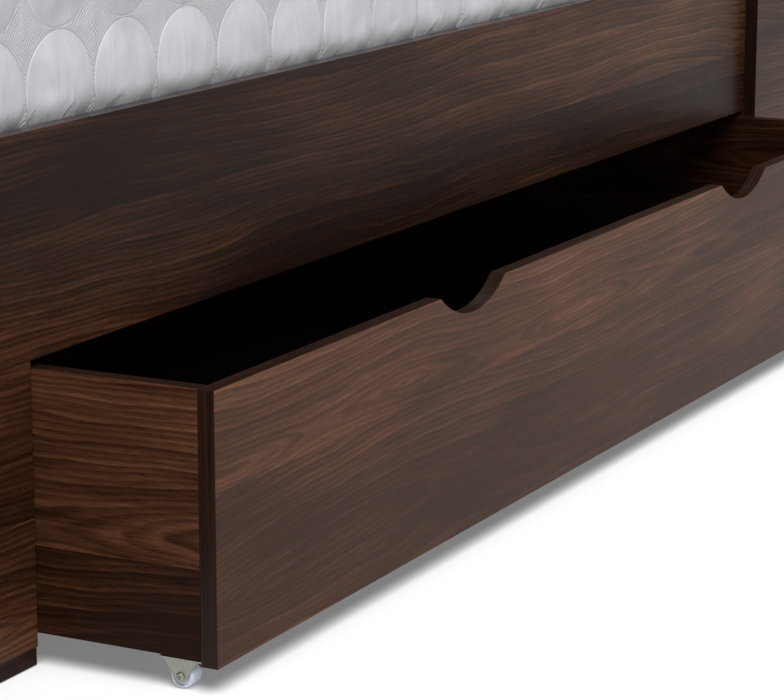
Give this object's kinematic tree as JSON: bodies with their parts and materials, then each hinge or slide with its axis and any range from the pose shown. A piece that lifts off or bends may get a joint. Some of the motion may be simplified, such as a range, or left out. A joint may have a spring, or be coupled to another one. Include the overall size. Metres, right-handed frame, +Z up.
{
  "type": "platform bed with storage drawers",
  "caption": "Walnut-laminate platform bed with a quilted mattress, long side drawers on small casters with finger notches, open foot cubbies and a bookcase headboard.",
  "frame": {"origin": "on the floor, at the middle of the foot of the centre leg nearest the bed's foot end", "axes": "+X to the bed's right side (the drawer that stands open), +Y to the headboard, +Z up"},
  "size_m": [1.7508, 2.265, 1],
  "materials": {
    "walnut_laminate": "satin",
    "drawer_lining": "matte",
    "slat_timber": "matte",
    "mattress_fabric": "matte",
    "zinc_plate": "satin",
    "white_nylon": "satin"
  },
  "bodies": {
    "bed_frame": {"side_rail_right": "walnut_laminate", "side_rail_left": "walnut_laminate", "foot_rail": "walnut_laminate", "slat_ledge_right": "slat_timber", "slat_ledge_left": "slat_timber", "centre_beam": "slat_timber", "centre_leg_foot": "slat_timber", "centre_leg_head": "slat_timber", "slat_roll": "slat_timber", "foot_cabinet_top": "walnut_laminate", "foot_cabinet_base": "walnut_laminate", "foot_cabinet_side_right": "walnut_laminate", "foot_cabinet_side_left": "walnut_laminate", "foot_cabinet_back": "walnut_laminate", "foot_cabinet_divider": "walnut_laminate", "headboard_side_right": "walnut_laminate", "headboard_side_left": "walnut_laminate", "headboard_top": "walnut_laminate", "headboard_front": "walnut_laminate", "headboard_shelf": "walnut_laminate", "headboard_divider": "walnut_laminate", "headboard_back": "walnut_laminate", "headboard_bottom": "walnut_laminate", "mattress": "mattress_fabric"},
    "drawer_right": {"drawer_right_front": "walnut_laminate", "drawer_right_back": "walnut_laminate", "drawer_right_end_foot": "walnut_laminate", "drawer_right_end_head": "walnut_laminate", "drawer_right_bottom": "drawer_lining", "caster_fork_right_foot_front": "zinc_plate", "caster_axle_right_foot_front": "zinc_plate", "caster_fork_right_foot_back": "zinc_plate", "caster_axle_right_foot_back": "zinc_plate", "caster_fork_right_head_front": "zinc_plate", "caster_axle_right_head_front": "zinc_plate", "caster_fork_right_head_back": "zinc_plate", "caster_axle_right_head_back": "zinc_plate"},
    "wheel_right_foot_front": {"caster_wheel_right_foot_front": "white_nylon"},
    "wheel_right_foot_back": {"caster_wheel_right_foot_back": "white_nylon"},
    "wheel_right_head_front": {"caster_wheel_right_head_front": "white_nylon"},
    "wheel_right_head_back": {"caster_wheel_right_head_back": "white_nylon"},
    "drawer_left": {"drawer_left_front": "walnut_laminate", "drawer_left_back": "walnut_laminate", "drawer_left_end_foot": "walnut_laminate", "drawer_left_end_head": "walnut_laminate", "drawer_left_bottom": "drawer_lining", "caster_fork_left_foot_front": "zinc_plate", "caster_axle_left_foot_front": "zinc_plate", "caster_fork_left_foot_back": "zinc_plate", "caster_axle_left_foot_back": "zinc_plate", "caster_fork_left_head_front": "zinc_plate", "caster_axle_left_head_front": "zinc_plate", "caster_fork_left_head_back": "zinc_plate", "caster_axle_left_head_back": "zinc_plate"},
    "wheel_left_foot_front": {"caster_wheel_left_foot_front": "white_nylon"},
    "wheel_left_foot_back": {"caster_wheel_left_foot_back": "white_nylon"},
    "wheel_left_head_front": {"caster_wheel_left_head_front": "white_nylon"},
    "wheel_left_head_back": {"caster_wheel_left_head_back": "white_nylon"}
  },
  "joints": [
    {"name": "drawer_right_slide", "type": "slide", "parent": "bed_frame", "child": "drawer_right", "axis": [1, 0, 0], "range_m": [-0.1655, 0.4345]},
    {"name": "wheel_right_foot_front_spin", "type": "hinge", "parent": "drawer_right", "child": "wheel_right_foot_front", "pos_m": [0.9157, -0.6007, 0.01], "axis": [0, 1, 0], "continuous": true},
    {"name": "wheel_right_foot_back_spin", "type": "hinge", "parent": "drawer_right", "child": "wheel_right_foot_back", "pos_m": [0.3405, -0.6007, 0.01], "axis": [0, 1, 0], "continuous": true},
    {"name": "wheel_right_head_front_spin", "type": "hinge", "parent": "drawer_right", "child": "wheel_right_head_front", "pos_m": [0.9157, 0.9257, 0.01], "axis": [0, 1, 0], "continuous": true},
    {"name": "wheel_right_head_back_spin", "type": "hinge", "parent": "drawer_right", "child": "wheel_right_head_back", "pos_m": [0.3405, 0.9257, 0.01], "axis": [0, 1, 0], "continuous": true},
    {"name": "drawer_left_slide", "type": "slide", "parent": "bed_frame", "child": "drawer_left", "axis": [-1, 0, 0], "range_m": [0, 0.6]},
    {"name": "wheel_left_foot_front_spin", "type": "hinge", "parent": "drawer_left", "child": "wheel_left_foot_front", "pos_m": [-0.7502, -0.6007, 0.01], "axis": [0, 1, 0], "continuous": true},
    {"name": "wheel_left_foot_back_spin", "type": "hinge", "parent": "drawer_left", "child": "wheel_left_foot_back", "pos_m": [-0.175, -0.6007, 0.01], "axis": [0, 1, 0], "continuous": true},
    {"name": "wheel_left_head_front_spin", "type": "hinge", "parent": "drawer_left", "child": "wheel_left_head_front", "pos_m": [-0.7502, 0.9257, 0.01], "axis": [0, 1, 0], "continuous": true},
    {"name": "wheel_left_head_back_spin", "type": "hinge", "parent": "drawer_left", "child": "wheel_left_head_back", "pos_m": [-0.175, 0.9257, 0.01], "axis": [0, 1, 0], "continuous": true}
  ],
  "couplings": [
    {"joint": "wheel_right_foot_front_spin", "follows": "drawer_right_slide", "rad_per_m": 100},
    {"joint": "wheel_right_foot_back_spin", "follows": "drawer_right_slide", "rad_per_m": 100},
    {"joint": "wheel_right_head_front_spin", "follows": "drawer_right_slide", "rad_per_m": 100},
    {"joint": "wheel_right_head_back_spin", "follows": "drawer_right_slide", "rad_per_m": 100},
    {"joint": "wheel_left_foot_front_spin", "follows": "drawer_left_slide", "rad_per_m": -100},
    {"joint": "wheel_left_foot_back_spin", "follows": "drawer_left_slide", "rad_per_m": -100},
    {"joint": "wheel_left_head_front_spin", "follows": "drawer_left_slide", "rad_per_m": -100},
    {"joint": "wheel_left_head_back_spin", "follows": "drawer_left_slide", "rad_per_m": -100}
  ]
}
